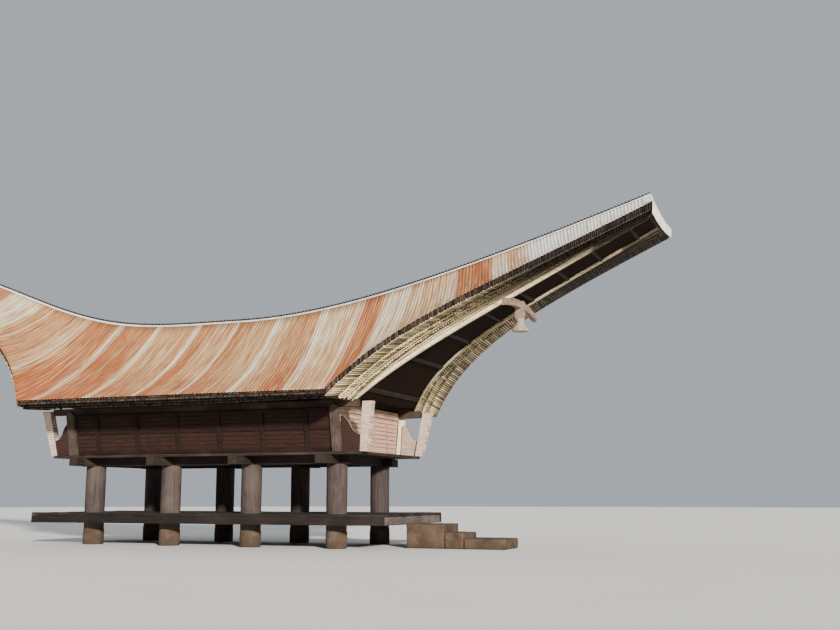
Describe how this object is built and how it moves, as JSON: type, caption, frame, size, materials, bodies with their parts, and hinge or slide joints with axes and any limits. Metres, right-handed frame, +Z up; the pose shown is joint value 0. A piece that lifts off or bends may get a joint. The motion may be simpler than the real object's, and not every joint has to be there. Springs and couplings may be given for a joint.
{
  "type": "tongkonan house",
  "caption": "Saddle-roofed tongkonan house: carved box room on round columns over a plank platform, under layered bamboo and iron-sheet slopes that sweep up into long prows.",
  "frame": {"origin": "on the ground under the middle of the house", "axes": "+X along the ridge towards the front prow and the stone steps, +Y to the left of somebody looking out of the front, +Z up"},
  "size_m": [20.5962, 6.59, 7.6089],
  "materials": {
    "column_wood": "smooth weathered grey trunk",
    "deck_wood": "weathered dark plank",
    "beam_wood": "weathered brown beam",
    "stone": null,
    "carved_wood": "carved red-brown panel",
    "pale_wood": "pale bleached board",
    "dark_wood": "dark sooted timber",
    "bamboo": "split bamboo laid in layers, dry tan",
    "sheet_iron": "corrugated galvanised iron, streaked with rust"
  },
  "bodies": {
    "root": {"column_right_1": "column_wood", "column_right_2": "column_wood", "column_right_3": "column_wood", "column_right_4": "column_wood", "column_left_1": "column_wood", "column_left_2": "column_wood", "column_left_3": "column_wood", "column_left_4": "column_wood", "platform_frame": "deck_wood", "platform_deck": "deck_wood", "stone_step_upper": "stone", "stone_step_middle": "stone", "stone_step_lower": "stone", "cross_beam_1": "beam_wood", "cross_beam_2": "beam_wood", "cross_beam_3": "beam_wood", "cross_beam_4": "beam_wood", "long_beam_right": "beam_wood", "long_beam_left": "beam_wood", "floor": "beam_wood", "wall_right": "carved_wood", "wall_left": "carved_wood", "wall_front": "carved_wood", "wall_rear": "carved_wood", "corner_board_front_right": "pale_wood", "wing_front_right": "carved_wood", "corner_board_front_left": "pale_wood", "wing_front_left": "carved_wood", "corner_board_rear_right": "pale_wood", "wing_rear_right": "carved_wood", "corner_board_rear_left": "pale_wood", "wing_rear_left": "carved_wood", "wall_plate_right": "pale_wood", "wall_plate_left": "pale_wood", "tie_beam_1": "dark_wood", "tie_beam_2": "dark_wood", "tie_beam_3": "dark_wood", "tie_beam_4": "dark_wood", "eave_purlin_right": "dark_wood", "eave_purlin_left": "dark_wood", "ridge_beam": "dark_wood", "gable_wall_front": "dark_wood", "gable_wall_rear": "dark_wood", "bamboo_roof_right": "bamboo", "iron_sheets_right": "sheet_iron", "bamboo_roof_left": "bamboo", "iron_sheets_left": "sheet_iron", "prow_beam_front": "pale_wood", "prow_pendant_front": "pale_wood", "soffit_front": "dark_wood", "barge_board_front_right": "pale_wood", "barge_board_front_left": "pale_wood", "prow_beam_rear": "pale_wood", "prow_pendant_rear": "pale_wood", "soffit_rear": "dark_wood", "barge_board_rear_right": "pale_wood", "barge_board_rear_left": "pale_wood"}
  },
  "joints": []
}
